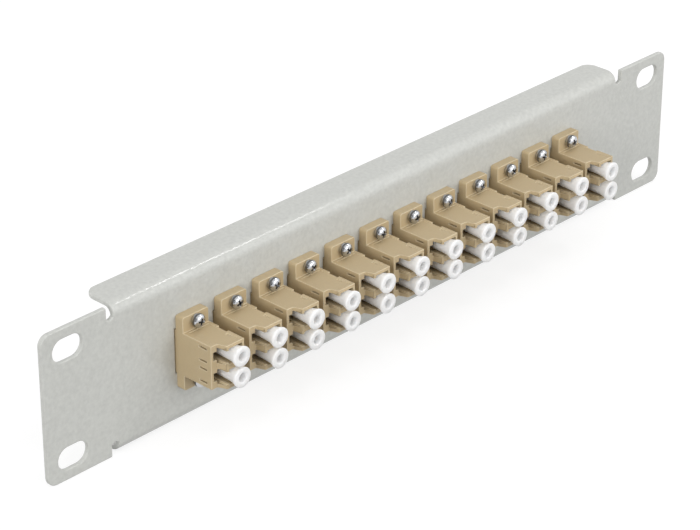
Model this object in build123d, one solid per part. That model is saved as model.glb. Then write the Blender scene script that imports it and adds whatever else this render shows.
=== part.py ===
"""Ten inch, one unit rack panel of folded steel with twelve duplex fibre adapters.

Millimetres. +X runs along the panel to the right, +Y to the back, +Z up.
The origin is the centre of the panel's rear face, the face that meets the rack posts.
The adapters look forward, along -Y, and their latch side is on the left.
"""
from build123d import *
from build123d.topology import SkipClean
from math import asin, cos, sin
import os

# Folded panel
PANEL_LENGTH = 254.0
PANEL_HEIGHT = 44.4
SHEET = 1.5
BEND_INNER_R = 2.0
FLANGE_DEPTH = 11.6
FLANGE_LENGTH = 205.4
FLANGE_CORNER_R = 3.5
EAR_CORNER_R = 3.0
NOTCH_WIDTH = 2.35
NOTCH_EXTRA = 0.5

# Clear width between the rack's posts. Outside it the ears rest on them.
RACK_OPENING = 222.25

# Oblong holes for the rack screws, in the ears
RACK_SPACING_X = 236.5
RACK_SPACING_Z = 31.75
RACK_SLOT_LENGTH = 10.0
RACK_SLOT_WIDTH = 6.6

# Row of adapters
ADAPTER_COUNT = 12
ADAPTER_PITCH = 14.0
CUTOUT_CLEARANCE_X = 0.25
CUTOUT_CLEARANCE_Z = 0.3

# Adapter body, welded from a front and a rear shell
BODY_LEFT = -4.65
BODY_RIGHT = 4.9
BODY_HEIGHT = 13.0
HALF_FLANGE = 1.45
EAR_WIDTH = 9.3
EAR_HEIGHT = 22.0
EAR_FILLET = 0.7
LATCH_SIDE_REACH = 11.95
KEY_SIDE_REACH = 14.65
SLANT_START = 2.2
SLANT_RUN = 1.0
SLANT_FILLET = 0.6
CORNER_RECESS = 0.8
CORNER_RECESS_START = 5.2
CORNER_RECESS_LENGTH = 3.5
FIELD_DEPTH = 0.15
FIELD_LATCH_MARGIN = 1.3
FIELD_KEY_MARGIN = 1.0
FIELD_FRONT_MARGIN = 0.8
DIMPLE_X = 3.35
DIMPLE_START = 9.4
DIMPLE_WIDTH = 0.5
DIMPLE_LENGTH = 1.9
DIMPLE_DEPTH = 0.45

# Ports, two in each shell, one above the other
PORT_PITCH = 6.25
PORT_OFFSET = 1.65
PLUG_BORE = 4.6
NECK_WIDTH = 3.5
NECK_LENGTH = 0.9
SHOULDER_WIDTH = 4.5
SHOULDER_LENGTH = 1.0
LATCH_SLOT_WIDTH = 2.4
LATCH_WALL = 0.9
KEY_WALL = 0.6
KEY_RAMP_LENGTH = 4.0
MIDDLE_WALL = 2.0
WINDOW_HEIGHT = 0.5
WINDOW_LENGTH = 2.9
WINDOW_START = 7.35
WINDOW_OFFSET = 1.95

# Tube in each port that holds the alignment sleeve
HOLDER_DIAMETER = 2.9
HOLDER_LENGTH = 4.25
HOLDER_MOUTH = 1.45
HOLDER_LIP = 0.5
SLEEVE_OUTER = 1.62
SLEEVE_INNER = 1.25
SLEEVE_CLEARANCE = 0.04
SLEEVE_END_PLAY = 0.05
SLEEVE_SLIT = 0.25

# Screws and nuts of the adapters
SCREW_SPACING = 18.0
SCREW_DIAMETER = 2.0
SCREW_LENGTH = 8.0
SCREW_HEAD_DIAMETER = 4.0
SCREW_HEAD_HEIGHT = 1.6
SCREW_HEAD_EDGE = 0.5
WASHER_DIAMETER = 3.5
WASHER_HEIGHT = 0.8
EAR_HOLE_CLEARANCE = 0.15
PANEL_HOLE_CLEARANCE = 0.2
NUT_ACROSS_FLATS = 4.0
NUT_HEIGHT = 1.6
NUT_CLEARANCE = 0.03

# Dust caps on the front ports
CAP_CLEARANCE = 0.1
CAP_OVERLAP = 1.8
CAP_SEAT_DEPTH = 2.5
CAP_INNER_DIAMETER = 4.0
CAP_NECK_DIAMETER = 4.4
CAP_HEAD_DIAMETER = 5.9
CAP_FLARE_LENGTH = 2.3
CAP_RIM = 0.4
CAP_HOLE_DIAMETER = 2.7
CAP_HOLE_FLOOR = 2.1
CAP_HOLE_DEPTH = 5.0

# Places that follow from the sizes above. Depths are measured forward, along -Y.
BEND_OUTER_R = BEND_INNER_R + SHEET
WELD_DEPTH = SHEET + HALF_FLANGE
EAR_FRONT = WELD_DEPTH + HALF_FLANGE
KEY_FRONT = WELD_DEPTH + KEY_SIDE_REACH
PORT_FLOOR = WELD_DEPTH + MIDDLE_WALL
HOLDER_END = PORT_FLOOR + HOLDER_LENGTH
HOLDER_BORE = SLEEVE_OUTER + 2 * SLEEVE_CLEARANCE
SLEEVE_HALF = HOLDER_END - HOLDER_LIP - SLEEVE_END_PLAY - WELD_DEPTH
CUTOUT_WIDTH = BODY_RIGHT - BODY_LEFT + 2 * CUTOUT_CLEARANCE_X
CUTOUT_OFFSET = (BODY_LEFT + BODY_RIGHT) / 2
CUTOUT_HEIGHT = BODY_HEIGHT + 2 * CUTOUT_CLEARANCE_Z
CAP_INNER_END = HOLDER_END - CAP_OVERLAP
CAP_FACE = KEY_FRONT + CAP_FLARE_LENGTH + CAP_RIM
ADAPTER_XS = [ADAPTER_PITCH * (k - (ADAPTER_COUNT - 1) / 2) for k in range(ADAPTER_COUNT)]
PORT_ZS = {"top": PORT_PITCH / 2, "bottom": -PORT_PITCH / 2}
SCREW_ZS = (SCREW_SPACING / 2, -SCREW_SPACING / 2)


def facing(depth):
    """Plane square to the ports at a depth in front of the origin, with its normal forward."""
    return Plane.XZ.offset(depth)


def prism(sketch, start, end):
    """Extrudes a front view from one depth to another."""
    return extrude(facing(start) * sketch, amount=end - start)


def turned(points, x, z):
    """Solid of revolution about a line along Y, from (radius, depth) points."""
    outline = [(radius, -depth) for radius, depth in points]
    return Pos(x, 0, z) * revolve(make_face(Polyline(*outline, close=True)), Axis.Y)


def span(x_low, x_high, height, z):
    """Rectangle in a front view between two X values."""
    return Pos((x_low + x_high) / 2, z) * Rectangle(x_high - x_low, height)


# Panel

def flat_sheet():
    """The ears and the web between them, before the notches."""
    ear_inside = FLANGE_LENGTH / 2 + NOTCH_WIDTH
    web_half = PANEL_HEIGHT / 2 - BEND_OUTER_R
    blank = Rectangle(PANEL_LENGTH, PANEL_HEIGHT)
    for side in (1, -1):
        blank -= Pos(0, side * (web_half + BEND_OUTER_R / 2)) * Rectangle(2 * ear_inside, BEND_OUTER_R)
    edge_corners = [v for v in blank.vertices() if abs(abs(v.Y) - PANEL_HEIGHT / 2) < 1e-6]
    outer = [v for v in edge_corners if abs(v.X) > ear_inside + 1]
    blank = fillet(outer, EAR_CORNER_R)
    return prism(blank, 0, SHEET)


def folded_flanges():
    """The channel between the notches: web, two bends and two flanges turned to the back."""
    def channel(inset, radius):
        outline = Pos(FLANGE_DEPTH / 2 - SHEET + inset / 2, 0) * Rectangle(
            FLANGE_DEPTH - inset, PANEL_HEIGHT - 2 * inset)
        front = outline.vertices().group_by(Axis.X)[0]
        return fillet(front, radius)

    section = channel(0, BEND_OUTER_R) - channel(SHEET, BEND_INNER_R)
    folded = extrude(Plane.YZ * section, amount=FLANGE_LENGTH / 2, both=True)
    rear = folded.faces().sort_by(Axis.Y)[-2:]
    corners = [e for f in rear for e in f.edges().filter_by(Axis.Z)]
    return fillet(corners, FLANGE_CORNER_R)


def panel():
    sheet = flat_sheet() + folded_flanges()
    notch_x = (FLANGE_LENGTH + NOTCH_WIDTH) / 2
    notch_low = PANEL_HEIGHT / 2 - BEND_OUTER_R - NOTCH_EXTRA
    notch_height = BEND_OUTER_R + NOTCH_EXTRA + SHEET
    cuts = []
    for side_x in (1, -1):
        for side_z in (1, -1):
            tip = notch_low + NOTCH_WIDTH / 2
            mouth_z = side_z * (tip + notch_height / 2)
            notch = Pos(side_x * notch_x, mouth_z) * Rectangle(NOTCH_WIDTH, notch_height)
            notch += Pos(side_x * notch_x, side_z * tip) * Circle(NOTCH_WIDTH / 2)
            cuts.append(notch)
            slot = SlotOverall(RACK_SLOT_LENGTH, RACK_SLOT_WIDTH)
            cuts.append(Pos(side_x * RACK_SPACING_X / 2, side_z * RACK_SPACING_Z / 2) * slot)
    hole_r = SCREW_DIAMETER / 2 + PANEL_HOLE_CLEARANCE
    for x in ADAPTER_XS:
        cuts.append(Pos(x + CUTOUT_OFFSET, 0) * Rectangle(CUTOUT_WIDTH, CUTOUT_HEIGHT))
        for z in SCREW_ZS:
            cuts.append(Pos(x, z) * Circle(hole_r))
    for cut in cuts:
        sheet -= prism(cut, 0, SHEET)
    return marked_at_posts(sheet)


def marked_at_posts(sheet):
    """The sheet with its faces parted along the posts' inner edges, so that what rests on a post is a face."""
    between = Box(RACK_OPENING, 4 * FLANGE_DEPTH, 2 * PANEL_HEIGHT)
    ears = (sheet - between).solids()
    web = sheet & between
    with SkipClean():
        return web.fuse(*ears)


# Adapters

def port_profile(z):
    """Front view of one port: latch slot, shoulder, neck and the square plug bore."""
    bore_left = PORT_OFFSET - PLUG_BORE / 2
    neck_left = bore_left - NECK_LENGTH
    shoulder_left = neck_left - SHOULDER_LENGTH
    slot_left = BODY_LEFT + LATCH_WALL
    profile = span(bore_left, bore_left + PLUG_BORE, PLUG_BORE, z)
    profile += span(neck_left, bore_left, NECK_WIDTH, z)
    profile += span(shoulder_left, neck_left, SHOULDER_WIDTH, z)
    profile += span(slot_left, shoulder_left, LATCH_SLOT_WIDTH, z)
    return profile


def key_ramp(z):
    """Sloping lead-in at the mouth of a port, on the side away from the latch."""
    inner_x = PORT_OFFSET + PLUG_BORE / 2
    mouth_x = BODY_RIGHT - KEY_WALL
    ramp = Polyline((inner_x, -KEY_FRONT), (mouth_x, -KEY_FRONT),
                    (inner_x, KEY_RAMP_LENGTH - KEY_FRONT), close=True)
    return Pos(0, 0, z) * extrude(make_face(ramp), amount=PLUG_BORE / 2, both=True)


def sleeve_holder(z):
    tube = turned([(0, WELD_DEPTH), (HOLDER_DIAMETER / 2, WELD_DEPTH),
                   (HOLDER_DIAMETER / 2, HOLDER_END), (0, HOLDER_END)], PORT_OFFSET, z)
    lip = HOLDER_END - HOLDER_LIP
    bore = turned([(0, WELD_DEPTH), (HOLDER_BORE / 2, WELD_DEPTH), (HOLDER_BORE / 2, lip),
                   (HOLDER_MOUTH / 2, lip), (HOLDER_MOUTH / 2, HOLDER_END), (0, HOLDER_END)],
                  PORT_OFFSET, z)
    return tube, bore


def plan_outline(left, right, back, latch_front, key_front, start, run):
    """Plan of a body or of its sunk field: the key side reaches further forward than the latch side."""
    outline = make_face(Polyline((left, -back), (left, -latch_front), (start, -latch_front),
                                 (start + run, -key_front), (right, -key_front), (right, -back), close=True))
    bends = [v for v in outline.vertices() if start - 0.1 < v.X < start + run + 0.1]
    return fillet(bends, SLANT_FILLET)


def shell():
    """Front half of an adapter. Its ears are centred on X = 0."""
    latch_front = WELD_DEPTH + LATCH_SIDE_REACH
    slant_start = BODY_LEFT + SLANT_START
    plan = plan_outline(BODY_LEFT, BODY_RIGHT, WELD_DEPTH, latch_front, KEY_FRONT, slant_start, SLANT_RUN)
    body = extrude(plan, amount=BODY_HEIGHT / 2, both=True)
    ears = prism(RectangleRounded(EAR_WIDTH, EAR_HEIGHT, EAR_FILLET), WELD_DEPTH, EAR_FRONT)
    body += ears
    field = plan_outline(BODY_LEFT + FIELD_LATCH_MARGIN, BODY_RIGHT - FIELD_KEY_MARGIN,
                         EAR_FRONT + FIELD_FRONT_MARGIN, latch_front - FIELD_FRONT_MARGIN,
                         KEY_FRONT - FIELD_FRONT_MARGIN, slant_start, SLANT_RUN)
    dimple_y = -(WELD_DEPTH + DIMPLE_START + DIMPLE_LENGTH / 2)
    for side in (1, -1):
        body -= Pos(0, 0, side * BODY_HEIGHT / 2) * extrude(field, amount=FIELD_DEPTH, both=True)
        pit = Box(DIMPLE_WIDTH, DIMPLE_LENGTH, 2 * DIMPLE_DEPTH)
        body -= Pos(DIMPLE_X, dimple_y, side * BODY_HEIGHT / 2) * pit
    for z in PORT_ZS.values():
        body -= prism(port_profile(z), PORT_FLOOR, KEY_FRONT)
        body -= key_ramp(z)
        for side in (1, -1):
            window_z = z + side * WINDOW_OFFSET
            shoulder_left = PORT_OFFSET - PLUG_BORE / 2 - NECK_LENGTH - SHOULDER_LENGTH
            window = span(BODY_LEFT, shoulder_left, WINDOW_HEIGHT, window_z)
            start = WELD_DEPTH + WINDOW_START
            body -= prism(window, start, start + WINDOW_LENGTH)
    for z in PORT_ZS.values():
        tube, bore = sleeve_holder(z)
        body = body + tube - bore
    recess_start = WELD_DEPTH + CORNER_RECESS_START
    for side in (1, -1):
        corner = Pos(BODY_RIGHT - CORNER_RECESS / 2, side * (BODY_HEIGHT - CORNER_RECESS) / 2)
        notch = corner * Rectangle(CORNER_RECESS, CORNER_RECESS)
        body -= prism(notch, recess_start, recess_start + CORNER_RECESS_LENGTH)
    for z in SCREW_ZS:
        hole = Pos(0, z) * Circle(SCREW_DIAMETER / 2 + EAR_HOLE_CLEARANCE)
        body -= prism(hole, WELD_DEPTH, EAR_FRONT)
    return body


# Small parts

def dust_cap(x, z):
    """Soft cap: a socket that slides over the sleeve holder, a tapered neck and a flared head."""
    socket_r = HOLDER_DIAMETER / 2 + CAP_CLEARANCE
    seat = CAP_INNER_END + CAP_SEAT_DEPTH
    rim = CAP_FACE - CAP_RIM
    outline = [(socket_r, CAP_INNER_END), (CAP_INNER_DIAMETER / 2, CAP_INNER_END),
               (CAP_NECK_DIAMETER / 2, KEY_FRONT), (CAP_HEAD_DIAMETER / 2, rim),
               (CAP_HEAD_DIAMETER / 2, CAP_FACE), (CAP_HOLE_DIAMETER / 2, CAP_FACE),
               (CAP_HOLE_FLOOR / 2, CAP_FACE - CAP_HOLE_DEPTH), (0, CAP_FACE - CAP_HOLE_DEPTH),
               (0, seat), (socket_r, seat)]
    return turned(outline, x + PORT_OFFSET, z)


def flange_screw(x, z):
    """Pan-head screw with its washer, through an adapter's ear and the panel. The crown is spherical."""
    head_r = SCREW_HEAD_DIAMETER / 2
    shank_r = SCREW_DIAMETER / 2
    washer_r = WASHER_DIAMETER / 2
    seat = EAR_FRONT + WASHER_HEIGHT
    edge = seat + SCREW_HEAD_EDGE
    crown = seat + SCREW_HEAD_HEIGHT
    rise = crown - edge
    crown_r = (head_r ** 2 + rise ** 2) / (2 * rise)
    half_turn = asin(head_r / crown_r) / 2
    halfway = (crown_r * sin(half_turn), -crown + crown_r * (1 - cos(half_turn)))
    side = Polyline((0, -crown), (0, SCREW_LENGTH - seat), (shank_r, SCREW_LENGTH - seat),
                    (shank_r, -EAR_FRONT), (washer_r, -EAR_FRONT), (washer_r, -seat),
                    (head_r, -seat), (head_r, -edge))
    dome = ThreePointArc((head_r, -edge), halfway, (0, -crown))
    return Pos(x, 0, z) * revolve(make_face(side + dome), Axis.Y)


def flange_nut(x, z):
    """Hexagon nut behind the panel, with two flats level."""
    hexagon = RegularPolygon(NUT_ACROSS_FLATS / 2, 6, major_radius=False, rotation=30)
    ring = hexagon - Circle(SCREW_DIAMETER / 2 + NUT_CLEARANCE)
    return prism(Pos(x, z) * ring, -NUT_HEIGHT, 0)


def alignment_sleeve(x, z):
    """Split ceramic sleeve in which the two ferrules of a port meet."""
    ring = Circle(SLEEVE_OUTER / 2) - Circle(SLEEVE_INNER / 2)
    ring -= Pos(SLEEVE_OUTER / 4, 0) * Rectangle(SLEEVE_OUTER / 2, SLEEVE_SLIT)
    place = Pos(x + PORT_OFFSET, z)
    return prism(place * ring, WELD_DEPTH - SLEEVE_HALF, WELD_DEPTH + SLEEVE_HALF)


# Assembly

def assembly():
    nodes = {"panel": panel()}
    front = shell()
    weld_plane = Plane(origin=(0, -WELD_DEPTH, 0), z_dir=(0, 1, 0))
    rear = mirror(front, about=weld_plane)
    screws = []
    nuts = []
    sleeves = []
    for number, x in enumerate(ADAPTER_XS, start=1):
        nodes[f"front_shell_{number:02d}"] = Pos(x, 0, 0) * front
        nodes[f"rear_shell_{number:02d}"] = Pos(x, 0, 0) * rear
        for place, z in PORT_ZS.items():
            nodes[f"dust_cap_{number:02d}_{place}"] = dust_cap(x, z)
            sleeves.append(alignment_sleeve(x, z))
        for z in SCREW_ZS:
            screws.append(flange_screw(x, z))
            nuts.append(flange_nut(x, z))
    nodes["flange_screws"] = Compound(children=screws)
    nodes["flange_nuts"] = Compound(children=nuts)
    nodes["alignment_sleeves"] = Compound(children=sleeves)
    return nodes


os.makedirs("parts", exist_ok=True)
for name, shape in assembly().items():
    export_step(shape, f"parts/{name}.step")
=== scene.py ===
"""The fibre patch panel with its finishes, its studio and its camera."""

from math import cos, pi, radians, sin, sqrt, tan

import bmesh
import bpy
from mathutils import Matrix, Vector


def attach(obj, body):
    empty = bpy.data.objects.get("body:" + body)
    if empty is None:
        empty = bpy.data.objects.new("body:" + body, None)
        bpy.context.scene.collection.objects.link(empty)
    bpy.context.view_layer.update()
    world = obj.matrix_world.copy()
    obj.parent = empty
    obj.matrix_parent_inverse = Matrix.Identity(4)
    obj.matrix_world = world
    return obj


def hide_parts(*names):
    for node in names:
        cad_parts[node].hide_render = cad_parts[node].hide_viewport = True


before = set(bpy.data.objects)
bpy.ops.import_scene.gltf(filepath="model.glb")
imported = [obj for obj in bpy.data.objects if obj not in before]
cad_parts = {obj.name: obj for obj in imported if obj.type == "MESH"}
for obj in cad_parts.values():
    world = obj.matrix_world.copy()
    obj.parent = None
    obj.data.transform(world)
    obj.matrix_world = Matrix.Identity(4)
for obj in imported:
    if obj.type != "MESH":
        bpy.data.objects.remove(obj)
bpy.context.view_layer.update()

MM = 0.001

# The row of adapters. Depths are measured forward from the panel's back, along -Y.
ADAPTER_COUNT = 12
ADAPTER_PITCH = 14.0 * MM
ADAPTER_XS = [ADAPTER_PITCH * (place - (ADAPTER_COUNT - 1) / 2) for place in range(ADAPTER_COUNT)]
ADAPTER_NAMES = [f"{place + 1:02d}" for place in range(ADAPTER_COUNT)]
PORT_X = 1.65 * MM
PORT_ZS = {"top": 3.125 * MM, "bottom": -3.125 * MM}
SCREW_ZS = {"top": 9.0 * MM, "bottom": -9.0 * MM}
WELD_DEPTH = 2.95 * MM

# Roundings that the coat and the mould leave along edges
SHEET_ROUNDING = 0.4 * MM
MOULD_ROUNDING = 0.17 * MM
ROUNDING_SEGMENTS = 2
ROUNDING_SHARE = 0.42
ROOM_POINTS = (0.2, 0.5, 0.8)
OPEN_ROOM = 1.0
SAME_POINT = 0.002 * MM
SAME_PLANE = radians(0.4)
SHARP_EDGE = radians(28)

# Pan-head screws, each over a washer
EAR_FRONT = 4.4 * MM
HEAD_SEAT = 5.2 * MM
HEAD_TOP = 6.8 * MM
HEAD_RADIUS = 2.0 * MM
HEAD_SIDE = 0.5 * MM
HEAD_CHAMFER = 0.1 * MM
CROWN_FULLNESS = 2.2
CROWN_RINGS = (0.15, 0.35, 0.55, 0.7, 0.8, 0.88, 0.94, 0.98)
WASHER_RADIUS = 1.75 * MM
WASHER_ROUNDING = 0.1 * MM
SHANK_RADIUS = 1.0 * MM
SHANK_END = -2.8 * MM
TIP_RADIUS = 0.8 * MM
TIP_CHAMFER = 0.12 * MM
THREAD_START = 2.4 * MM
THREAD_RUN_IN = 0.1 * MM
THREAD_RUN_OUT = 0.2 * MM
THREAD_PITCH = 0.4 * MM
THREAD_DEPTH = 0.2 * MM
THREAD_ROWS_PER_TURN = 6
SCREW_COLUMNS = 48
SCREW_SHARP_EDGE = radians(40)
SCREW_TURNS = (12, 57, 31, 74)

# Cross recess in the screw heads
RECESS_DEPTH = 1.0 * MM
RECESS_REACH = 1.15 * MM
RECESS_WIDTH = 0.58 * MM
RECESS_FLOOR_REACH = 0.45 * MM
RECESS_FLOOR_WIDTH = 0.4 * MM
CUTTER_ABOVE_HEAD = 0.3 * MM
CUTTER_TOP_REACH = 1.12 * RECESS_REACH
CUTTER_TOP_WIDTH = 1.06 * RECESS_WIDTH

# Faces of the head given painted shade: steeper than this, or sunk by this share of the recess
SHADED_BELOW = 0.42
SHADED_SINK = 0.7

# Hexagon nuts
NUT_HALF_FLATS = 2.0 * MM
NUT_THICKNESS = 1.6 * MM
NUT_BORE = 1.03 * MM
NUT_CHAMFER = radians(30)
NUT_CHAMFER_RADIUS = 1.9 * MM
NUT_COUNTERSINK = 0.16 * MM
NUT_COLUMNS = 72
NUT_SHARP_EDGE = radians(24)

# Half section of a dust cap, from its inner end round to the hole's floor: depth, radius and
# rounding in mm
CAP_INNER_END = ((9.9, 0.0, 0), (9.9, 1.55, 0.25), (7.4, 1.55, 0.1), (7.4, 2.0, 0.12))
CAP_SIDE = ((9.0, 2.05, 0), (11.0, 2.07, 0), (13.3, 2.12, 0), (15.6, 2.2, 0), (17.0, 2.26, 0),
            (17.7, 2.32, 0), (18.2, 2.42, 0), (18.7, 2.56, 0), (19.15, 2.72, 0), (19.5, 2.85, 0))
CAP_RIM = ((19.8, 2.94, 0.12), (20.3, 2.92, 0.36), (20.3, 1.36, 0.4))
CAP_HOLE = ((18.4, 1.24, 0.2), (15.3, 1.05, 0.3), (15.3, 0.0, 0))
CAP_COLUMNS = 56
CORNER_STEPS = 4

# The studio, in metres: a floor under the panel, a black card at its left, an even sky, and
# soft lamps with their places, widths, heights and watts
FLOOR_LEVEL = -22.25 * MM
FLOOR_HALF = 5.0
FLOOR_TONE = (0.3, 0.3, 0.3)
FLOOR_LIFT = 0.76
CARD_X = -0.62
CARD_Y_RANGE = (-0.75, 0.05)
CARD_HEIGHT = 0.7
CARD_TONE = (0.01, 0.01, 0.01)
SKY_LEVEL = 0.69
LAMPS = (
    ("left lamp", (-1.6, -0.5, 0.6), 0.9, 0.9, 12.5),
    ("front lamp", (0.3, -1.8, 0.6), 0.9, 0.9, 10.5),
    ("right lamp", (1.3, -1.3, 0.7), 0.9, 0.9, 3),
    ("rear lamp", (-0.7, 1.6, 0.35), 0.9, 0.9, 5),
    ("bend lamp", (1.05, -0.55, 1.4), 0.4, 0.12, 3),
)

# The photograph's view: front, from the left and above
VIEW_AZIMUTH = radians(-47.192)
VIEW_ELEVATION = radians(27.346)
VIEW_ROLL = radians(0.484)
VIEW_DISTANCE = 0.749718
NEAREST_SEEN = 0.01
SENSOR_WIDTH = 36.0
FOCAL_LENGTH = 135.605
LENS_SHIFT_X = -0.0474
LENS_SHIFT_Y = -0.0256


def add_object(name, data):
    """A new object in the scene."""
    added = bpy.data.objects.new(name, data)
    bpy.context.scene.collection.objects.link(added)
    return added


def mesh_of(work, name):
    """A new mesh with the shape that was worked out, which is let go."""
    mesh = bpy.data.meshes.new(name)
    work.to_mesh(mesh)
    work.free()
    return mesh


def smooth_faces(mesh):
    """Shades every face of a mesh smooth."""
    for face in mesh.polygons:
        face.use_smooth = True


def piece_from_mesh(name, mesh, body, replaced, place=(0, 0, 0)):
    """A piece made of a mesh that others may share."""
    piece = add_object(name, mesh)
    piece.location = place
    bpy.context.view_layer.update()
    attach(piece, body)
    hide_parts(replaced)
    return piece


def is_sharp(edge):
    """Whether an edge parts two faces that meet at a real angle."""
    return len(edge.link_faces) == 2 and edge.calc_face_angle() > SHARP_EDGE


def is_on_weld(edge):
    """Whether an edge runs along the seam between an adapter's halves, which is welded flush."""
    return all(abs(corner.co.y + WELD_DEPTH) < SAME_POINT for corner in edge.verts)


def room_beside(edge):
    """The least width of the two faces beside an edge, up to their next sharp edge."""
    room = OPEN_ROOM
    for loop in edge.link_loops:
        start = loop.vert.co
        end = loop.link_loop_next.vert.co
        along = (end - start).normalized()
        inward = loop.face.normal.cross(along)
        for share in ROOM_POINTS:
            origin = start.lerp(end, share)
            for other in loop.face.edges:
                first, second = [corner.co - origin for corner in other.verts]
                before = first.dot(along)
                after = second.dot(along)
                passes_by = before * after > 0 or before == after
                if other is edge or passes_by or not is_sharp(other):
                    continue
                crossing = before / (before - after)
                depth = first.dot(inward) + (second - first).dot(inward) * crossing
                if depth > SAME_POINT:
                    room = min(room, depth)
    return room


def mark_roundings(work, rounding):
    """Gives each sharp edge the share of the rounding that its faces have room for."""
    weight = work.edges.layers.float.new("bevel_weight_edge")
    for edge in work.edges:
        if is_on_weld(edge):
            edge.smooth = False
        elif is_sharp(edge):
            edge[weight] = min(1.0, ROUNDING_SHARE * room_beside(edge) / rounding)


def weigh_normals(piece):
    """Keeps flat faces looking flat beside rounded edges."""
    shade = piece.modifiers.new("flat faces", "WEIGHTED_NORMAL")
    shade.mode = "FACE_AREA"
    shade.keep_sharp = True


def round_edges(piece, rounding):
    """Rounds the marked edges of a piece, with its last material on the roundings."""
    bevel = piece.modifiers.new("rounded edges", "BEVEL")
    bevel.width = rounding
    bevel.segments = ROUNDING_SEGMENTS
    bevel.limit_method = "WEIGHT"
    bevel.use_clamp_overlap = False
    bevel.loop_slide = False
    bevel.material = len(piece.data.materials) - 1


def rounded_mesh(node, rounding, materials):
    """A solid's mesh with its sharp edges rounded. The last material goes on the roundings."""
    work = bmesh.new()
    work.from_mesh(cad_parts[node].data)
    bmesh.ops.remove_doubles(work, verts=work.verts, dist=SAME_POINT)
    bmesh.ops.dissolve_limit(work, angle_limit=SAME_PLANE, verts=work.verts, edges=work.edges)
    work.normal_update()
    mark_roundings(work, rounding)
    mesh = mesh_of(work, node)
    mesh.materials.clear()
    for material in materials:
        mesh.materials.append(material)
    for face in mesh.polygons:
        face.material_index = 0
    smooth_faces(mesh)
    helper = add_object(node, mesh)
    round_edges(helper, rounding)
    weigh_normals(helper)
    bpy.context.view_layer.update()
    evaluated = helper.evaluated_get(bpy.context.evaluated_depsgraph_get())
    finished = bpy.data.meshes.new_from_object(evaluated)
    bpy.data.objects.remove(helper)
    bpy.data.meshes.remove(mesh)
    return finished


def fold_panel():
    """The folded sheet, its edges softened by the coat."""
    sheet = rounded_mesh("panel", SHEET_ROUNDING, [POWDER_COAT])
    piece_from_mesh("folded_panel", sheet, "panel_body", "panel")


def set_in_adapters():
    """The adapters. Each half is rounded once and copied along the row."""
    for half_name in ("front_shell", "rear_shell"):
        # The roundings take the lighter tone, a painted edge highlight
        pattern = rounded_mesh(f"{half_name}_01", MOULD_ROUNDING, [ADAPTER_PLASTIC, ADAPTER_EDGE_HIGHLIGHT])
        for number, x in zip(ADAPTER_NAMES, ADAPTER_XS):
            moulding = pattern.copy()
            moulding.transform(Matrix.Translation((x - ADAPTER_XS[0], 0, 0)))
            node = f"{half_name}_{number}"
            piece_from_mesh(f"{node}_moulding", moulding, "panel_body", node)


def ring_of_points(work, depth, radius, columns):
    """A ring about the axis; its radius is a number or a function of the angle."""
    ring = []
    for column in range(columns):
        angle = 2 * pi * column / columns
        reach = radius(angle) if callable(radius) else radius
        ring.append(work.verts.new((reach * cos(angle), -depth, reach * sin(angle))))
    return ring


def join_rings(work, first, second):
    """A band of faces between two rings."""
    columns = len(first)
    for column in range(columns):
        after = (column + 1) % columns
        work.faces.new((first[column], first[after], second[after], second[column]))


def close_ring(work, ring, depth):
    """A fan from a ring to a point on the axis."""
    centre = work.verts.new((0, -depth, 0))
    columns = len(ring)
    for column in range(columns):
        work.faces.new((ring[column], ring[(column + 1) % columns], centre))


def turned_work(rows, columns):
    """Rows of (depth, radius) joined into a closed skin, with the first and last on the axis."""
    work = bmesh.new()
    rings = [ring_of_points(work, depth, radius, columns) for depth, radius in rows[1:-1]]
    for first, second in zip(rings, rings[1:]):
        join_rings(work, first, second)
    close_ring(work, rings[0], rows[0][0])
    close_ring(work, rings[-1], rows[-1][0])
    bmesh.ops.recalc_face_normals(work, faces=work.faces)
    return work


def round_corner(before, corner, after, rounding):
    """Points of a soft corner between two straight runs of a profile."""
    corner = Vector(corner)
    start = corner + (Vector(before) - corner).normalized() * rounding
    end = corner + (Vector(after) - corner).normalized() * rounding
    points = []
    for step in range(CORNER_STEPS + 1):
        share = step / CORNER_STEPS
        near = start.lerp(corner, share)
        far = corner.lerp(end, share)
        points.append(tuple(near.lerp(far, share)))
    return points


def softened_profile(points):
    """Profile from (depth, radius, rounding) in mm to rows in metres, its corners rounded."""
    rows = []
    for index, (depth, radius, rounding) in enumerate(points):
        if rounding == 0:
            rows.append((depth, radius))
        else:
            before = points[index - 1][:2]
            after = points[index + 1][:2]
            rows += round_corner(before, (depth, radius), after, rounding)
    return [(depth * MM, radius * MM) for depth, radius in rows]


def effect_group(name, inputs, outputs):
    """An empty node group with named sockets, and its two end nodes."""
    group = bpy.data.node_groups.new(name, "ShaderNodeTree")
    for label, kind, value in inputs:
        socket = group.interface.new_socket(label, in_out="INPUT", socket_type=kind)
        if value is not None:
            socket.default_value = value
    for label, kind in outputs:
        group.interface.new_socket(label, in_out="OUTPUT", socket_type=kind)
    return group, group.nodes.new("NodeGroupInput"), group.nodes.new("NodeGroupOutput")


def noise(tree, place, scale, detail=3.0):
    """A noise texture at a place, as fine as the scale's socket says."""
    texture = tree.nodes.new("ShaderNodeTexNoise")
    texture.inputs["Detail"].default_value = detail
    tree.links.new(place, texture.inputs["Vector"])
    tree.links.new(scale, texture.inputs["Scale"])
    return texture.outputs["Fac"]


def maths(tree, operation, first, second):
    """A maths node; each value is a number or a socket."""
    node = tree.nodes.new("ShaderNodeMath")
    node.operation = operation
    for socket, value in zip(node.inputs, (first, second)):
        if isinstance(value, (int, float)):
            socket.default_value = value
        else:
            tree.links.new(value, socket)
    return node.outputs[0]


def swing(group, given, strength):
    """Noise of a group's patches, swinging about zero by a strength."""
    wander = noise(group, given.outputs["Place"], given.outputs["Patches per metre"])
    centred = maths(group, "SUBTRACT", wander, 0.5)
    return maths(group, "MULTIPLY", centred, given.outputs[strength])


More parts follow.
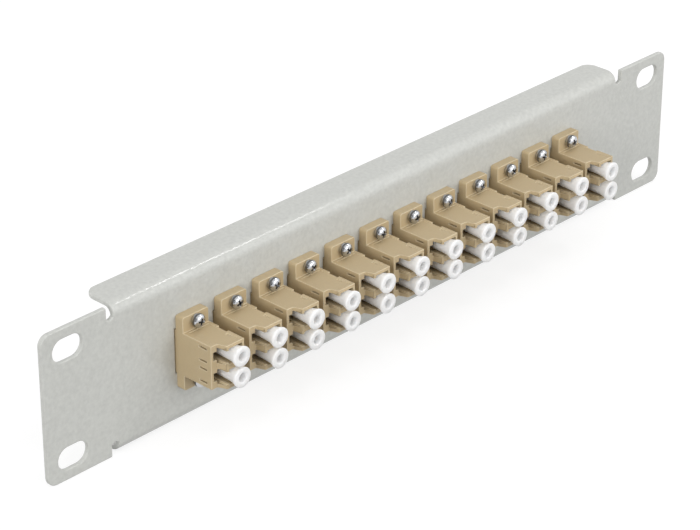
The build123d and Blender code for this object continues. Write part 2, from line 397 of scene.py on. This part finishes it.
def build_tone_drift():
    """Colour that wanders a little over the surface."""
    group, given, result = effect_group(
        "tone drift",
        [("Place", "NodeSocketVector", None),
         ("Tone", "NodeSocketColor", (0.5, 0.5, 0.5, 1)),
         ("Patches per metre", "NodeSocketFloat", 60.0),
         ("Strength", "NodeSocketFloat", 0.03)],
        [("Tone", "NodeSocketColor")])
    level = maths(group, "ADD", swing(group, given, "Strength"), 1.0)
    scale = group.nodes.new("ShaderNodeVectorMath")
    scale.operation = "SCALE"
    group.links.new(given.outputs["Tone"], scale.inputs[0])
    group.links.new(level, scale.inputs["Scale"])
    group.links.new(scale.outputs[0], result.inputs["Tone"])
    return group


def build_sheen_drift():
    """Roughness that wanders with handling and moulding."""
    group, given, result = effect_group(
        "sheen drift",
        [("Place", "NodeSocketVector", None),
         ("Roughness", "NodeSocketFloat", 0.5),
         ("Patches per metre", "NodeSocketFloat", 90.0),
         ("Spread", "NodeSocketFloat", 0.1)],
        [("Roughness", "NodeSocketFloat")])
    level = maths(group, "ADD", swing(group, given, "Spread"), given.outputs["Roughness"])
    group.links.new(level, result.inputs["Roughness"])
    return group


def build_fine_grain():
    """Height of a pebbled skin: small grains on slower swells."""
    group, given, result = effect_group(
        "fine grain",
        [("Place", "NodeSocketVector", None),
         ("Grains per metre", "NodeSocketFloat", 2500.0),
         ("Swell", "NodeSocketFloat", 0.4)],
        [("Height", "NodeSocketFloat")])
    swells_per_grain = 0.22
    grains = noise(group, given.outputs["Place"], given.outputs["Grains per metre"], 1.0)
    swell_scale = maths(group, "MULTIPLY", given.outputs["Grains per metre"], swells_per_grain)
    swells = noise(group, given.outputs["Place"], swell_scale, 1.0)
    raised = maths(group, "MULTIPLY", swells, given.outputs["Swell"])
    group.links.new(maths(group, "ADD", grains, raised), result.inputs["Height"])
    return group


TONE_DRIFT = build_tone_drift()
SHEEN_DRIFT = build_sheen_drift()
FINE_GRAIN = build_fine_grain()


def place_group(tree, group, place, **values):
    """An effect put into a material with its own values."""
    node = tree.nodes.new("ShaderNodeGroup")
    node.node_tree = group
    tree.links.new(place, node.inputs["Place"])
    for name, value in values.items():
        node.inputs[name.replace("_", " ")].default_value = value
    return node.outputs[0]


def finish(name, tone, roughness, drift=0.03, speckle=0.0, speckles=900.0, spread=0.08,
           grains=2500.0, relief=0.2, grain_height=0.01, **constants):
    """A finish: drifting and speckled tone, drifting sheen, and a grain under it.

    The grain's height is in mm. The constants go on the shader.
    """
    material = bpy.data.materials.new(name)
    material.use_nodes = True
    tree = material.node_tree
    shader = tree.nodes["Principled BSDF"]
    place = tree.nodes.new("ShaderNodeTexCoord").outputs["Object"]
    broad = place_group(tree, TONE_DRIFT, place,
                        Tone=(*tone, 1), Patches_per_metre=70.0, Strength=drift)
    fine = place_group(tree, TONE_DRIFT, place, Patches_per_metre=speckles, Strength=speckle)
    tree.links.new(broad, fine.node.inputs["Tone"])
    tree.links.new(fine, shader.inputs["Base Color"])
    sheen = place_group(tree, SHEEN_DRIFT, place,
                        Roughness=roughness, Patches_per_metre=160.0, Spread=spread)
    tree.links.new(sheen, shader.inputs["Roughness"])
    height = place_group(tree, FINE_GRAIN, place, Grains_per_metre=grains, Swell=0.5)
    bump = tree.nodes.new("ShaderNodeBump")
    bump.inputs["Strength"].default_value = relief
    bump.inputs["Distance"].default_value = grain_height * MM
    tree.links.new(height, bump.inputs["Height"])
    tree.links.new(bump.outputs["Normal"], shader.inputs["Normal"])
    for socket, value in constants.items():
        shader.inputs[socket.replace("_", " ")].default_value = value
    return material


POWDER_COAT = finish(
    "powder coat", (0.54, 0.546, 0.517), 0.48, drift=0.04, speckle=0.3,
    grains=1200.0, relief=1.0, grain_height=0.05, Coat_Weight=0.4, Coat_Roughness=0.13)
PLASTIC_DEPTH = {
    "Subsurface_Weight": 0.06,
    "Subsurface_Radius": (1.0, 0.7, 0.4),
    "Subsurface_Scale": 0.001,
}
ADAPTER_PLASTIC = finish(
    "adapter plastic", (0.508, 0.398, 0.237), 0.42, drift=0.07, speckle=0.08, speckles=1400.0,
    grains=5200.0, relief=0.35, **PLASTIC_DEPTH)
# A lighter tone on the mould's roundings: a painted highlight along every edge
ADAPTER_EDGE_HIGHLIGHT = finish(
    "adapter plastic, painted edge highlight", (0.60, 0.50, 0.33), 0.38, drift=0.07, grains=5200.0, **PLASTIC_DEPTH)
CAP_PLASTIC = finish(
    "cap plastic", (0.975, 0.983, 0.99), 0.36, drift=0.02,
    grains=4200.0, relief=0.25, grain_height=0.008,
    Subsurface_Weight=1.0, Subsurface_Radius=(0.95, 0.98, 1.0), Subsurface_Scale=0.0025)
SCREW_CHROME = finish(
    "screw chrome", (0.53, 0.54, 0.56), 0.16,
    grains=6000.0, relief=0.08, grain_height=0.006, Metallic=1.0)
# Dark chrome: painted shade on the heads' sides and in their recesses
SCREW_PAINTED_SHADE = finish(
    "screw chrome, painted shade", (0.19, 0.19, 0.195), 0.3, spread=0.1,
    grains=6000.0, grain_height=0.006, Metallic=1.0)
NUT_STEEL = finish(
    "nut steel", (0.62, 0.62, 0.60), 0.33, drift=0.12, spread=0.16,
    grains=5000.0, relief=0.3, Metallic=1.0)
SLEEVE_CERAMIC = finish(
    "sleeve ceramic", (0.86, 0.86, 0.83), 0.14, drift=0.02,
    grains=9000.0, relief=0.1, grain_height=0.004, Coat_Weight=0.3, Coat_Roughness=0.08)


def put_on_caps():
    """A dust cap in every front port."""
    profile = softened_profile(CAP_INNER_END + CAP_SIDE + CAP_RIM + CAP_HOLE)
    skin = mesh_of(turned_work(profile, CAP_COLUMNS), "dust cap")
    skin.materials.append(CAP_PLASTIC)
    smooth_faces(skin)
    for number, x in zip(ADAPTER_NAMES, ADAPTER_XS):
        for level, z in PORT_ZS.items():
            node = f"dust_cap_{number}_{level}"
            place = (x + PORT_X, 0, z)
            cap = piece_from_mesh(f"cap_{number}_{level}", skin, node, node, place)
            weigh_normals(cap)


def thread_radius(depth):
    """Radius of the shank as a function of the angle, for a true helix."""
    def radius(angle):
        turn = (THREAD_START - depth) / THREAD_PITCH - angle / (2 * pi)
        ridge = abs((turn % 1.0) * 2 - 1)
        return SHANK_RADIUS - THREAD_DEPTH * (1 - ridge)
    return radius


def head_rows():
    """Rows from the crown of the head down its side and its washer to the ear."""
    edge_depth = HEAD_SEAT + HEAD_SIDE
    rise = HEAD_TOP - edge_depth
    rows = [(HEAD_TOP, 0)]
    for share in CROWN_RINGS:
        height = (1 - share ** CROWN_FULLNESS) ** (1 / CROWN_FULLNESS)
        rows.append((edge_depth + rise * height, share * HEAD_RADIUS))
    washer_side = WASHER_RADIUS - WASHER_ROUNDING
    rows += [
        (edge_depth, HEAD_RADIUS),
        (HEAD_SEAT + HEAD_CHAMFER, HEAD_RADIUS),
        (HEAD_SEAT, HEAD_RADIUS - HEAD_CHAMFER),
        (HEAD_SEAT, washer_side),
        (HEAD_SEAT - WASHER_ROUNDING, WASHER_RADIUS),
        (EAR_FRONT + WASHER_ROUNDING, WASHER_RADIUS),
        (EAR_FRONT, washer_side),
        (EAR_FRONT, SHANK_RADIUS),
    ]
    return rows


def thread_rows():
    """Rows down the threaded shank to its chamfered tip."""
    rows = [(THREAD_START + THREAD_RUN_IN, SHANK_RADIUS)]
    depth = THREAD_START
    while depth > SHANK_END + THREAD_RUN_OUT:
        rows.append((depth, thread_radius(depth)))
        depth -= THREAD_PITCH / THREAD_ROWS_PER_TURN
    rows += [
        (SHANK_END + TIP_CHAMFER, TIP_RADIUS),
        (SHANK_END, TIP_RADIUS - TIP_CHAMFER),
        (SHANK_END, 0),
    ]
    return rows


def recess_wing(turn):
    """One of the two crossed wedges that cut the recess."""
    work = bmesh.new()
    levels = ((HEAD_TOP + CUTTER_ABOVE_HEAD, CUTTER_TOP_REACH, CUTTER_TOP_WIDTH),
              (HEAD_TOP - RECESS_DEPTH, RECESS_FLOOR_REACH, RECESS_FLOOR_WIDTH))
    rings = []
    for depth, reach, width in levels:
        half = width / 2
        corners = ((-reach, -half), (reach, -half), (reach, half), (-reach, half))
        rings.append([work.verts.new((x, -depth, z)) for x, z in corners])
    join_rings(work, rings[0], rings[1])
    work.faces.new(rings[0])
    work.faces.new(rings[1])
    bmesh.ops.recalc_face_normals(work, faces=work.faces)
    rotation = Matrix.Rotation(turn, 3, "Y")
    bmesh.ops.rotate(work, verts=work.verts, cent=(0, 0, 0), matrix=rotation)
    return work


def cut_recess(blank, turn):
    """The screw's mesh with its cross recess cut, as a new mesh."""
    cutters = []
    for quarter in (0, 1):
        wing = mesh_of(recess_wing(turn + quarter * pi / 2), "recess wing")
        cutters.append(add_object("recess wing", wing))
    whole = add_object("screw blank", blank)
    for cutter in cutters:
        cut = whole.modifiers.new("recess", "BOOLEAN")
        cut.operation = "DIFFERENCE"
        cut.solver = "EXACT"
        cut.object = cutter
    bpy.context.view_layer.update()
    depsgraph = bpy.context.evaluated_depsgraph_get()
    result = bpy.data.meshes.new_from_object(whole.evaluated_get(depsgraph))
    for helper in [whole] + cutters:
        bpy.data.objects.remove(helper)
    return result


def paint_shade_in_hollows(screw):
    """Gives the side of the head and the recess a dark second finish, painted shade where they
    fall in shadow.
    """
    sink_depth = HEAD_TOP - SHADED_SINK * RECESS_DEPTH
    for face in screw.polygons:
        x, y, z = face.center
        steep = abs(face.normal.y) < SHADED_BELOW
        sunk = -y < sink_depth and sqrt(x * x + z * z) < RECESS_REACH
        if -y > HEAD_SEAT and (steep or sunk):
            face.material_index = 1


def drive_in_screws():
    """A screw in each ear, its recess turned unlike its neighbours'."""
    blank = mesh_of(turned_work(head_rows() + thread_rows(), SCREW_COLUMNS), "screw blank")
    kinds = []
    for turn in SCREW_TURNS:
        kind = cut_recess(blank, radians(turn))
        kind.name = "pan-head screw"
        kind.materials.clear()
        kind.materials.append(SCREW_CHROME)
        kind.materials.append(SCREW_PAINTED_SHADE)
        smooth_faces(kind)
        paint_shade_in_hollows(kind)
        kind.set_sharp_from_angle(angle=SCREW_SHARP_EDGE)
        kinds.append(kind)
    for index, (number, x) in enumerate(zip(ADAPTER_NAMES, ADAPTER_XS)):
        for offset, (level, z) in enumerate(SCREW_ZS.items()):
            kind = kinds[(3 * index + 2 * offset + index // 4) % len(kinds)]
            piece_from_mesh(f"screw_{number}_{level}", kind, "panel_body",
                            "flange_screws", (x, 0, z))


def nut_side(angle):
    """Distance from the axis to the hexagon's side at an angle, two flats level."""
    within = (angle + pi / 2) % (pi / 3)
    return NUT_HALF_FLATS / cos(min(within, pi / 3 - within))


def nut_shoulder(work, face, into):
    """The hexagon's outline where the chamfer of one face leaves it."""
    ring = []
    for column in range(NUT_COLUMNS):
        angle = 2 * pi * column / NUT_COLUMNS
        reach = nut_side(angle)
        depth = face + into * (reach - NUT_CHAMFER_RADIUS) * tan(NUT_CHAMFER)
        ring.append(work.verts.new((reach * cos(angle), -depth, reach * sin(angle))))
    return ring


def nut_work():
    """Hexagon nut with both faces chamfered and its bore countersunk."""
    work = bmesh.new()
    near = 0.0
    far = -NUT_THICKNESS
    mouth = NUT_BORE + NUT_COUNTERSINK
    rings = []
    for depth, radius in ((near - NUT_COUNTERSINK, NUT_BORE), (near, mouth),
                          (near, NUT_CHAMFER_RADIUS)):
        rings.append(ring_of_points(work, depth, radius, NUT_COLUMNS))
    rings += [nut_shoulder(work, near, -1), nut_shoulder(work, far, 1)]
    for depth, radius in ((far, NUT_CHAMFER_RADIUS), (far, mouth),
                          (far + NUT_COUNTERSINK, NUT_BORE)):
        rings.append(ring_of_points(work, depth, radius, NUT_COLUMNS))
    for first, second in zip(rings, rings[1:]):
        join_rings(work, first, second)
    join_rings(work, rings[-1], rings[0])
    bmesh.ops.recalc_face_normals(work, faces=work.faces)
    return work


def spin_on_nuts():
    """A nut on each screw, against the panel's back."""
    skin = mesh_of(nut_work(), "hexagon nut")
    skin.materials.append(NUT_STEEL)
    smooth_faces(skin)
    skin.set_sharp_from_angle(angle=NUT_SHARP_EDGE)
    for number, x in zip(ADAPTER_NAMES, ADAPTER_XS):
        for level, z in SCREW_ZS.items():
            piece_from_mesh(f"nut_{number}_{level}", skin, "panel_body",
                            "flange_nuts", (x, 0, z))


def finish_sleeves():
    """The sleeves keep their plain shape, deep in the ports."""
    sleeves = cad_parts["alignment_sleeves"].data
    sleeves.materials.clear()
    sleeves.materials.append(SLEEVE_CERAMIC)


def seen_directly(tree):
    """1 for what the camera, a reflection or a clear surface looks straight at, otherwise 0."""
    path = tree.nodes.new("ShaderNodeLightPath")
    seen = maths(tree, "MAXIMUM", path.outputs["Is Camera Ray"], path.outputs["Is Glossy Ray"])
    return maths(tree, "MAXIMUM", seen, path.outputs["Is Transmission Ray"])


def floor_material():
    """The diffuse colour keeps shadows, and what looks straight at it sees it lifted to white."""
    material = bpy.data.materials.new("white floor")
    material.use_nodes = True
    tree = material.node_tree
    tree.nodes.clear()
    output = tree.nodes.new("ShaderNodeOutputMaterial")
    paint = tree.nodes.new("ShaderNodeBsdfDiffuse")
    paint.inputs["Color"].default_value = (*FLOOR_TONE, 1)
    glow = tree.nodes.new("ShaderNodeEmission")
    lift = maths(tree, "MULTIPLY", seen_directly(tree), FLOOR_LIFT)
    tree.links.new(lift, glow.inputs["Strength"])
    both = tree.nodes.new("ShaderNodeAddShader")
    tree.links.new(paint.outputs[0], both.inputs[0])
    tree.links.new(glow.outputs[0], both.inputs[1])
    clear = tree.nodes.new("ShaderNodeBsdfTransparent")
    behind = tree.nodes.new("ShaderNodeNewGeometry").outputs["Backfacing"]
    choice = tree.nodes.new("ShaderNodeMixShader")
    tree.links.new(behind, choice.inputs[0])
    tree.links.new(both.outputs[0], choice.inputs[1])
    tree.links.new(clear.outputs[0], choice.inputs[2])
    tree.links.new(choice.outputs[0], output.inputs["Surface"])
    return material


def staged_sheet(name, corners, material):
    """A flat four-cornered piece of the studio."""
    mesh = bpy.data.meshes.new(name)
    mesh.from_pydata(corners, [], [(0, 1, 2, 3)])
    mesh.materials.append(material)
    sheet = add_object(name, mesh)
    return sheet


def lay_floor():
    """A white floor just under the panel, which keeps its shadow and is clear from below."""
    half = FLOOR_HALF
    outline = ((-half, -half), (half, -half), (half, half), (-half, half))
    corners = [(x, y, FLOOR_LEVEL) for x, y in outline]
    staged_sheet("studio floor", corners, floor_material())


def stand_dark_card():
    """A black card at the left that only polished metal picks up. It darkens the screws' rims."""
    material = bpy.data.materials.new("black card")
    material.use_nodes = True
    shader = material.node_tree.nodes["Principled BSDF"]
    shader.inputs["Base Color"].default_value = (*CARD_TONE, 1)
    near, far = CARD_Y_RANGE
    outline = ((near, 0), (far, 0), (far, CARD_HEIGHT), (near, CARD_HEIGHT))
    card = staged_sheet("black card", [(CARD_X, y, z) for y, z in outline], material)
    card.visible_camera = False
    card.visible_diffuse = False
    card.visible_shadow = False
    card.visible_transmission = False


def light_sky():
    """Even light from all round, seen as white by the camera and in reflections."""
    world = bpy.data.worlds.new("white studio")
    bpy.context.scene.world = world
    world.use_nodes = True
    tree = world.node_tree
    background = tree.nodes["Background"]
    background.inputs["Color"].default_value = (1, 1, 1, 1)
    extra = maths(tree, "MULTIPLY", seen_directly(tree), 1 - SKY_LEVEL)
    tree.links.new(maths(tree, "ADD", extra, SKY_LEVEL), background.inputs["Strength"])


def hang_lamp(name, place, width, height, watts):
    """A soft lamp at a place, facing the middle of the panel."""
    lamp = bpy.data.lights.new(name, "AREA")
    lamp.shape = "RECTANGLE"
    lamp.size = width
    lamp.size_y = height
    lamp.energy = watts
    holder = add_object(name, lamp)
    holder.location = place
    holder.rotation_mode = "QUATERNION"
    holder.rotation_quaternion = (-Vector(place)).to_track_quat("-Z", "Y")
    holder.visible_camera = False


def place_camera():
    """The camera at the photograph's view, aimed at the middle of the panel."""
    azimuth, elevation, roll = VIEW_AZIMUTH, VIEW_ELEVATION, VIEW_ROLL
    back = Vector((sin(azimuth) * cos(elevation), -cos(azimuth) * cos(elevation), sin(elevation)))
    right = Vector((cos(azimuth), sin(azimuth), 0))
    up = back.cross(right)
    tilted_right = right * cos(roll) + up * sin(roll)
    tilted_up = up * cos(roll) - right * sin(roll)
    lens = bpy.data.cameras.new("photograph view")
    lens.sensor_width = SENSOR_WIDTH
    lens.lens = FOCAL_LENGTH
    lens.shift_x = LENS_SHIFT_X
    lens.shift_y = LENS_SHIFT_Y
    lens.clip_start = NEAREST_SEEN
    camera = add_object("photograph view", lens)
    turn = Matrix((tilted_right, tilted_up, back)).transposed().to_4x4()
    camera.matrix_world = Matrix.Translation(back * VIEW_DISTANCE) @ turn
    bpy.context.scene.camera = camera


place_camera()
bpy.context.scene.view_settings.view_transform = "Standard"
fold_panel()
set_in_adapters()
put_on_caps()
drive_in_screws()
spin_on_nuts()
finish_sleeves()
lay_floor()
stand_dark_card()
light_sky()
for lamp_values in LAMPS:
    hang_lamp(*lamp_values)
